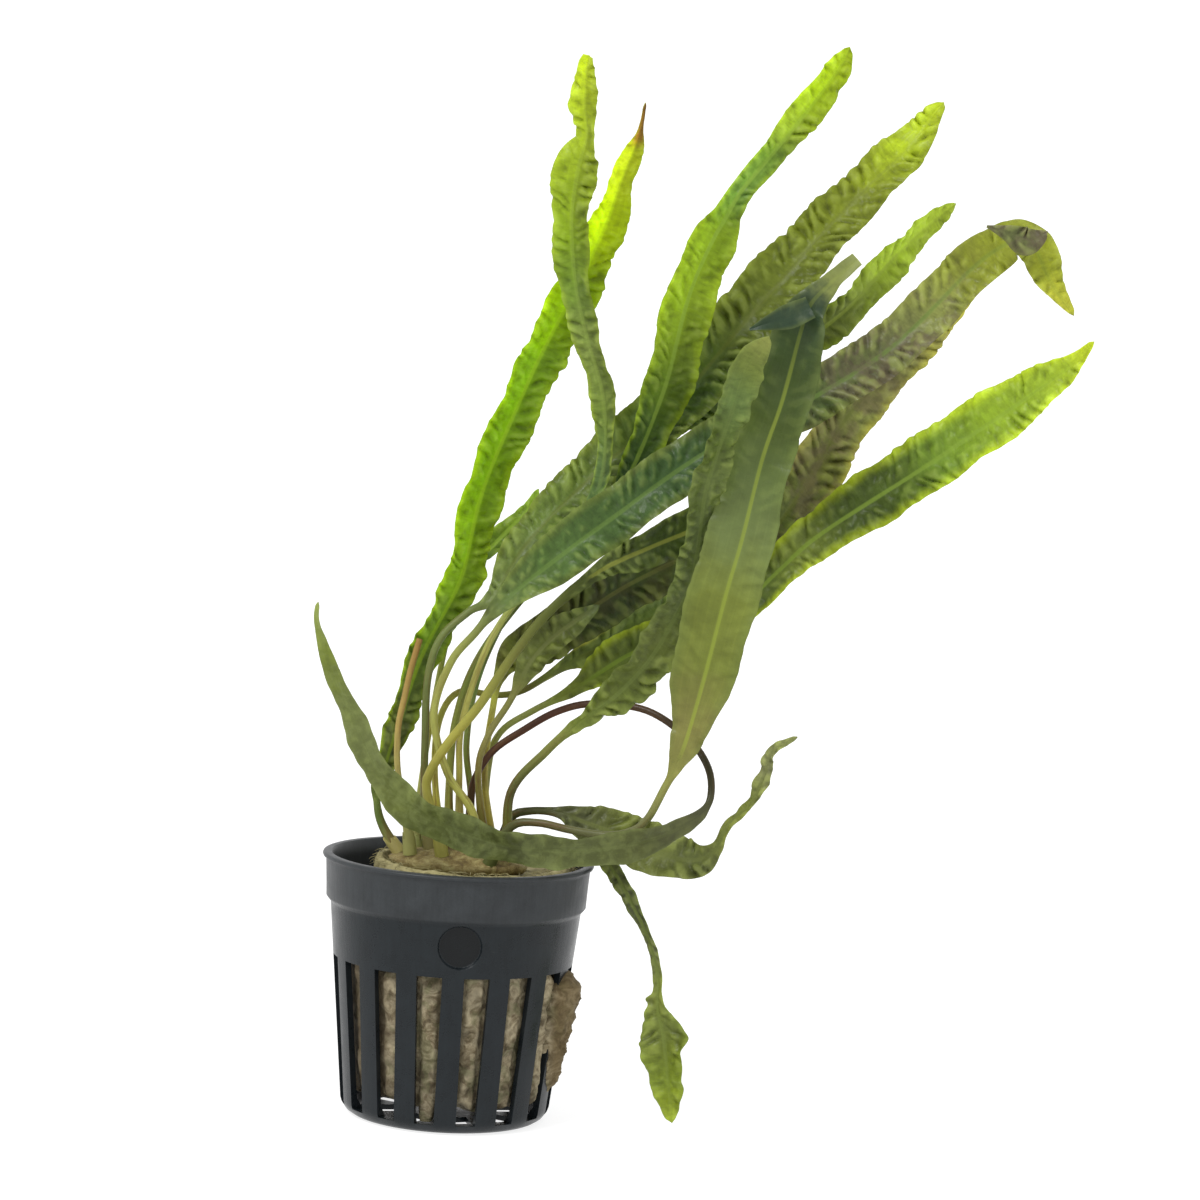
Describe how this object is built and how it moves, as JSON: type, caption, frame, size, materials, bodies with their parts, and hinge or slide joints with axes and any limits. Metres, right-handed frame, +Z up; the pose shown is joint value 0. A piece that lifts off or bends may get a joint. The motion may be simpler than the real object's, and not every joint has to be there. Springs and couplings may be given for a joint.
{
  "type": "potted cryptocoryne",
  "caption": "Rooted water plant with long ruffled ribbon leaves, growing from rock wool in a slotted round net pot.",
  "frame": {"origin": "centre of the pot's underside, where it stands", "axes": "+Z up along the pot's axis, +X to the side that the plant leans to, -Y towards the viewer of the picture"},
  "size_m": [0.1417, 0.0768, 0.2096],
  "materials": {
    "pot_plastic": "satin",
    "rock_wool": "matte",
    "crown": "satin",
    "leaf_bright": "satin",
    "leaf_green": "satin",
    "leaf_olive": "satin",
    "leaf_dark": "satin",
    "old_stalk": "matte"
  },
  "bodies": {
    "root": {"net_pot": "pot_plastic", "rock_wool": "rock_wool", "crown": "crown", "leaf_tall": "leaf_bright", "leaf_amber_tip": "leaf_bright", "leaf_bright_top": "leaf_bright", "leaf_olive_ruffled": "leaf_olive", "leaf_slim_back": "leaf_bright", "leaf_folded_tip": "leaf_dark", "leaf_yellow_stalk": "leaf_olive", "leaf_front_ruffled": "leaf_green", "leaf_front_broad": "leaf_green", "leaf_looping": "leaf_green", "leaf_brown_margin": "leaf_dark", "leaf_lower_right": "leaf_bright", "leaf_dark_olive": "leaf_dark", "leaf_grey_folded": "leaf_green", "leaf_small_bright": "leaf_bright", "leaf_curled_tail": "leaf_olive", "leaf_hanging": "leaf_olive", "old_stalk": "old_stalk"}
  },
  "joints": []
}
